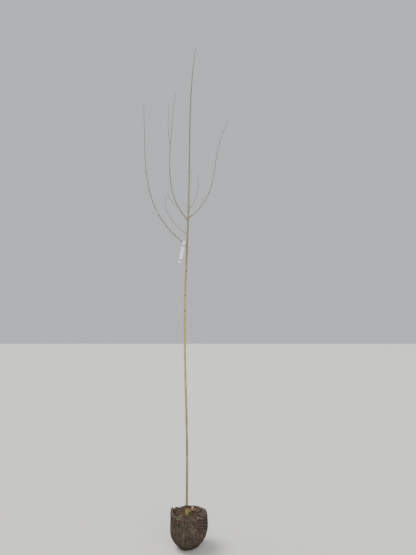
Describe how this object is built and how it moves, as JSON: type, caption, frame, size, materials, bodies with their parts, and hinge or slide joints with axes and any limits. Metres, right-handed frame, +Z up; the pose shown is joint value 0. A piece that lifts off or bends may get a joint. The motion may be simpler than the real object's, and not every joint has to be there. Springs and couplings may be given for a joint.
{
  "type": "sapling with root ball",
  "caption": "Tall bare nursery sapling with a slender trunk, whippy upright boughs, a blank label and a wrapped root ball that it stands on.",
  "frame": {"origin": "middle of the root ball's flat underside, on the floor", "axes": "+Z up along the trunk, +X to the right and -Y towards the viewer as the picture shows the tree"},
  "size_m": [0.6825, 0.3805, 3.9202],
  "materials": {
    "root_ball": "matt, dark weathered sacking and netting round moist soil",
    "bark": "smooth cream-tan young bark with fine lenticels, bud scars and brown knots",
    "young_bark": "smooth taupe twig bark",
    "label": "satin white plastic, blank"
  },
  "bodies": {
    "root": {"root_ball": "root_ball", "trunk": "bark", "bough_left_long": "young_bark", "bough_left_short": "young_bark", "bough_left_middle": "young_bark", "bough_right_long": "young_bark", "bough_right_short": "young_bark", "shoot_left_low": "young_bark", "shoot_left_high": "young_bark", "label": "label"}
  },
  "joints": []
}
